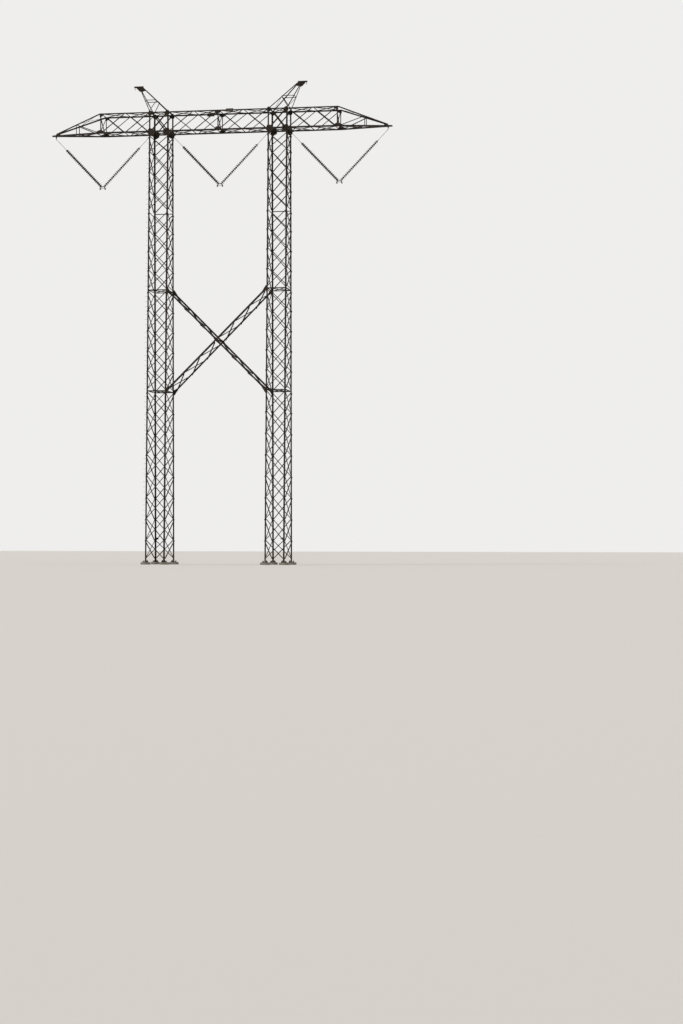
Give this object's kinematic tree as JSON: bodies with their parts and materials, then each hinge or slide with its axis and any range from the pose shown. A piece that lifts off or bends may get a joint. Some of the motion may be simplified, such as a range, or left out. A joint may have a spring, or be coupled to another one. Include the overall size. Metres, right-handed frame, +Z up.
{
  "type": "lattice transmission pylon",
  "caption": "H-frame lattice pylon: battered lattice masts, a tapering box crossarm, an X brace, earth wire peaks and V-shaped insulator sets.",
  "frame": {"origin": "on the ground, midway between the two masts", "axes": "+X across the line to the right-hand mast, +Y along the line, away from the viewer, +Z up"},
  "size_m": [27.1, 3.7932, 37.4],
  "materials": {
    "tower_steel": "weathered galvanised steel, dark, with dull zinc and brown rust",
    "fittings_steel": "forged galvanised steel, dark and dull",
    "porcelain": "dark brown glaze with dull steel caps",
    "concrete": "weathered concrete",
    "plate_metal": "bare weathered sheet"
  },
  "bodies": {
    "root": {"left_legs_front": "tower_steel", "left_legs_back": "tower_steel", "right_legs_front": "tower_steel", "right_legs_back": "tower_steel", "left_face_front": "tower_steel", "left_face_back": "tower_steel", "left_face_outer": "tower_steel", "left_face_inner": "tower_steel", "right_face_front": "tower_steel", "right_face_back": "tower_steel", "right_face_outer": "tower_steel", "right_face_inner": "tower_steel", "left_rings": "tower_steel", "right_rings": "tower_steel", "left_piers": "concrete", "right_piers": "concrete", "base_plates": "tower_steel", "arm_posts": "tower_steel", "bottom_chord_front": "tower_steel", "bottom_chord_back": "tower_steel", "top_chord_front": "tower_steel", "top_chord_back": "tower_steel", "arm_lacing_front": "tower_steel", "arm_lacing_back": "tower_steel", "arm_lacing_top": "tower_steel", "arm_lacing_bottom": "tower_steel", "arm_frames": "tower_steel", "arm_plates_front": "tower_steel", "arm_plates_back": "tower_steel", "left_nose_chords": "tower_steel", "right_nose_chords": "tower_steel", "left_nose_lacing": "tower_steel", "right_nose_lacing": "tower_steel", "nose_tips": "tower_steel", "brace_falling": "tower_steel", "brace_rising_low": "tower_steel", "brace_rising_high": "tower_steel", "brace_plates": "tower_steel", "left_peak": "tower_steel", "right_peak": "tower_steel", "earth_clamps": "fittings_steel", "hangers": "fittings_steel", "marker_plates": "plate_metal", "sign_plates": "plate_metal"},
    "vstring_left": {"left_string_outer": "porcelain", "left_string_inner": "porcelain", "left_links": "fittings_steel", "left_yoke": "fittings_steel"},
    "vstring_centre": {"centre_string_left": "porcelain", "centre_string_right": "porcelain", "centre_links": "fittings_steel", "centre_yoke": "fittings_steel"},
    "vstring_right": {"right_string_inner": "porcelain", "right_string_outer": "porcelain", "right_links": "fittings_steel", "right_yoke": "fittings_steel"}
  },
  "joints": [
    {"name": "left_swing", "type": "hinge", "parent": "root", "child": "vstring_left", "pos_m": [-9.42, 0, 33.554], "axis": [1, 0, 0], "range_deg": [-15, 15]},
    {"name": "centre_swing", "type": "hinge", "parent": "root", "child": "vstring_centre", "pos_m": [0, 0, 33.554], "axis": [1, 0, 0], "range_deg": [-15, 15]},
    {"name": "right_swing", "type": "hinge", "parent": "root", "child": "vstring_right", "pos_m": [9.42, 0, 33.554], "axis": [1, 0, 0], "range_deg": [-15, 15]}
  ]
}
